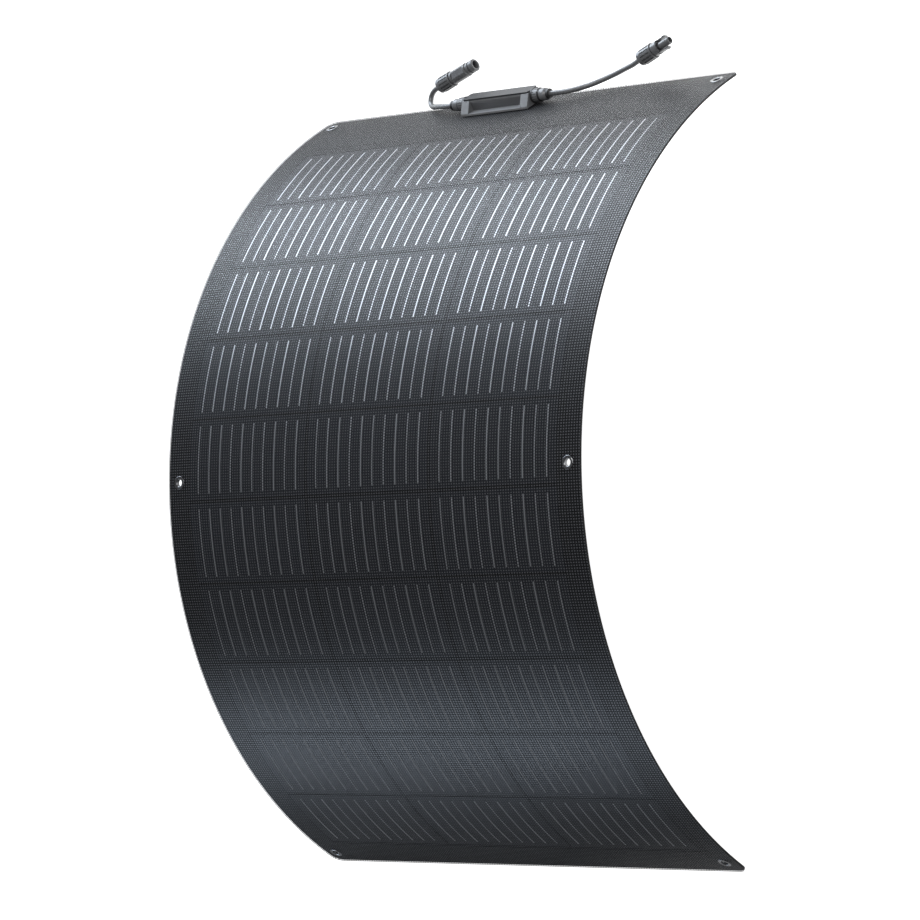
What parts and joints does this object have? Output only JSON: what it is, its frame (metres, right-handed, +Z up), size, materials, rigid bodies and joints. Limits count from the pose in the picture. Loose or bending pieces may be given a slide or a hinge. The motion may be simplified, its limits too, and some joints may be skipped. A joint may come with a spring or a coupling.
{
  "type": "flexible solar sheet",
  "caption": "Thin flexible solar sheet bent into an arch, with rows of half cells, eyelets along its edges, and a bonded junction box with two short leads that end in a socket and a plug.",
  "frame": {"origin": "on the ground under the middle of the sheet with its junction box, leads left out", "axes": "+X along the short edges, towards the lead with the plug; +Y along the bend, towards the edge with the junction box; +Z up, out of the cell side at the crown"},
  "size_m": [0.612, 0.9033, 0.2646],
  "materials": {
    "film": "fine woven emboss with a soft sheen",
    "encapsulant": "dark, seen only at the cut edge",
    "backing": "matte glass-fibre laminate with a fine weave",
    "cells": "dark blue-black silicon",
    "ribbon": "tinned copper",
    "bus": "tinned copper bar under a black cover strip",
    "eyelet": "bright nickel-plated",
    "adhesive": "matte",
    "housing": "fine moulded texture",
    "lid": "fine moulded texture",
    "gland": "moulded, semi-matte",
    "seal": "matte",
    "contact": "tinned",
    "diode": "moulded epoxy",
    "copper": "bare stranded copper",
    "cable": "semi-matte sheath",
    "connector": "moulded, semi-matte"
  },
  "bodies": {
    "panel": {"adhesive_pad": "adhesive", "back_encapsulant": "encapsulant", "backing_sheet": "backing", "box_risers": "contact", "bypass_diode": "diode", "cell_ribbons_left": "ribbon", "cell_ribbons_middle": "ribbon", "cell_ribbons_right": "ribbon", "eyelet_washers": "eyelet", "eyelets": "eyelet", "front_encapsulant": "encapsulant", "front_film": "film", "junction_box_body": "housing", "negative_feed": "bus", "plug_clamp_collet": "connector", "plug_contact": "contact", "plug_gland_body": "gland", "plug_gland_bush": "seal", "plug_gland_gasket": "seal", "plug_gland_ring": "seal", "plug_grommet": "seal", "plug_housing": "connector", "plug_lead": "cable", "plug_lead_conductor": "copper", "plug_lead_tail": "cable", "plug_o_ring": "seal", "positive_feed": "bus", "socket_clamp_collet": "connector", "socket_contact": "contact", "socket_gland_body": "gland", "socket_gland_bush": "seal", "socket_gland_gasket": "seal", "socket_gland_ring": "seal", "socket_grommet": "seal", "socket_housing": "connector", "socket_lead": "cable", "socket_lead_conductor": "copper", "socket_lead_tail": "cable", "solar_cells_left": "cells", "solar_cells_middle": "cells", "solar_cells_right": "cells", "string_links": "bus", "terminal_rail_negative": "contact", "terminal_rail_positive": "contact"},
    "lid": {"junction_box_lid": "lid", "lid_seal": "seal"},
    "socket_gland_nut": {"socket_gland_nut": "gland"},
    "plug_gland_nut": {"plug_gland_nut": "gland"},
    "socket_cap_nut": {"socket_cap_nut": "connector"},
    "plug_cap_nut": {"plug_cap_nut": "connector"},
    "locking_prong_left": {"locking_prong_left": "connector"},
    "locking_prong_right": {"locking_prong_right": "connector"}
  },
  "joints": [
    {"name": "lid_lift", "type": "slide", "parent": "panel", "child": "lid", "axis": [0, 0.8689, 0.495], "range_m": [0, 0.03]},
    {"name": "socket_gland_nut_turn", "type": "hinge", "parent": "panel", "child": "socket_gland_nut", "pos_m": [-0.069, 0.41924, 0.02495], "axis": [-1, 0, 0], "range_deg": [0, 900]},
    {"name": "plug_gland_nut_turn", "type": "hinge", "parent": "panel", "child": "plug_gland_nut", "pos_m": [0.031, 0.41924, 0.02495], "axis": [1, 0, 0], "range_deg": [0, 900]},
    {"name": "socket_cap_nut_turn", "type": "hinge", "parent": "panel", "child": "socket_cap_nut", "pos_m": [-0.1274, 0.4459, 0.0093], "axis": [-0.9438, -0.3305, 0], "range_deg": [0, 1080]},
    {"name": "plug_cap_nut_turn", "type": "hinge", "parent": "panel", "child": "plug_cap_nut", "pos_m": [0.1727, 0.4467, 0.0093], "axis": [-0.9291, -0.3698, 0], "range_deg": [0, 1080]},
    {"name": "left_prong_flex", "type": "hinge", "parent": "panel", "child": "locking_prong_left", "pos_m": [0.19685, 0.46336, 0.0093], "axis": [0, 0, -1], "range_deg": [0, 5], "stiffness_Nm_per_rad": 0.2},
    {"name": "right_prong_flex", "type": "hinge", "parent": "panel", "child": "locking_prong_right", "pos_m": [0.2017, 0.45119, 0.0093], "axis": [0, 0, 1], "range_deg": [0, 5], "stiffness_Nm_per_rad": 0.2}
  ]
}
